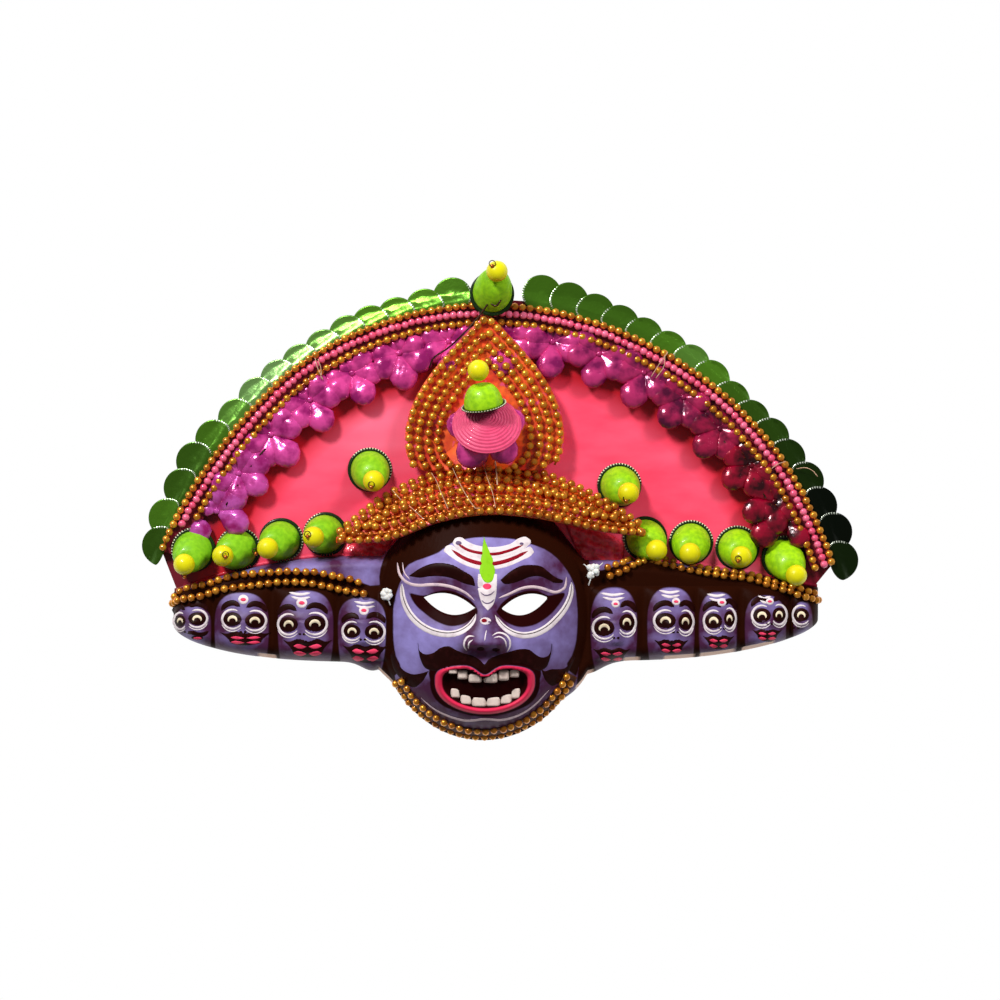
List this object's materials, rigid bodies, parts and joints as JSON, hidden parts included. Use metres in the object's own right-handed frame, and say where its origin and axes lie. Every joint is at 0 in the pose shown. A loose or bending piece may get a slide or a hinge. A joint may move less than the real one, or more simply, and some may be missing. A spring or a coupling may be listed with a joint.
{
  "type": "papier-mache mask",
  "caption": "Papier-mache dance mask: a large face between wings of small heads, under a bead-covered brim and crest and a flat round fan edged with foil discs and flowers",
  "frame": {"origin": "on the plane the mask's back lies on, under the middle of its whole outline", "axes": "+X across the face towards the wing with the greater number of small heads, +Y towards the crown, +Z out of the face"},
  "size_m": [0.6069, 0.4026, 0.0789],
  "materials": {
    "painted_papier_mache": "varnished",
    "painted_board": "painted",
    "gold_beads": "metallised",
    "pink_beads": "pearl",
    "green_foil": "foil",
    "magenta_plastic": "glossy",
    "pink_ribbed_plastic": "satin",
    "green_plastic": "satin",
    "yellow_plastic": "satin",
    "cotton_thread": "fluffy"
  },
  "bodies": {
    "root": {"mask_shell": "painted_papier_mache", "fan_board": "painted_board", "arch_beads_outer": "gold_beads", "arch_beads_pink": "pink_beads", "arch_beads_inner": "gold_beads", "green_foil_left": "green_foil", "green_foil_right": "green_foil", "petal_flower_left_1": "magenta_plastic", "petal_flower_left_2": "magenta_plastic", "petal_flower_left_3": "magenta_plastic", "petal_flower_left_4": "magenta_plastic", "petal_flower_left_5": "magenta_plastic", "petal_flower_left_6": "magenta_plastic", "petal_flower_left_7": "magenta_plastic", "petal_flower_right_1": "magenta_plastic", "petal_flower_right_2": "magenta_plastic", "petal_flower_right_3": "magenta_plastic", "petal_flower_right_4": "magenta_plastic", "petal_flower_right_5": "magenta_plastic", "petal_flower_right_6": "magenta_plastic", "petal_flower_right_7": "magenta_plastic", "petal_flower_right_8": "magenta_plastic", "wing_beads_left": "gold_beads", "wing_beads_right": "gold_beads", "ear_tuft_left": "cotton_thread", "ear_tuft_right": "cotton_thread", "chin_beads": "gold_beads", "crest_board": "gold_beads", "crown_brim": "gold_beads", "crest_petals": "magenta_plastic", "crest_cone": "pink_ribbed_plastic", "crest_cup": "green_plastic", "crest_ball": "yellow_plastic", "field_cup_1": "green_plastic", "field_ball_1": "yellow_plastic", "field_cup_2": "green_plastic", "field_ball_2": "yellow_plastic", "left_cup_1": "green_plastic", "left_ball_1": "yellow_plastic", "left_cup_2": "green_plastic", "left_ball_2": "yellow_plastic", "left_cup_3": "green_plastic", "left_ball_3": "yellow_plastic", "left_cup_4": "green_plastic", "left_ball_4": "yellow_plastic", "right_cup_1": "green_plastic", "right_ball_1": "yellow_plastic", "right_cup_2": "green_plastic", "right_ball_2": "yellow_plastic", "right_cup_3": "green_plastic", "right_ball_3": "yellow_plastic", "right_cup_4": "green_plastic", "right_ball_4": "yellow_plastic", "top_cup": "green_plastic", "top_ball": "yellow_plastic"}
  },
  "joints": []
}
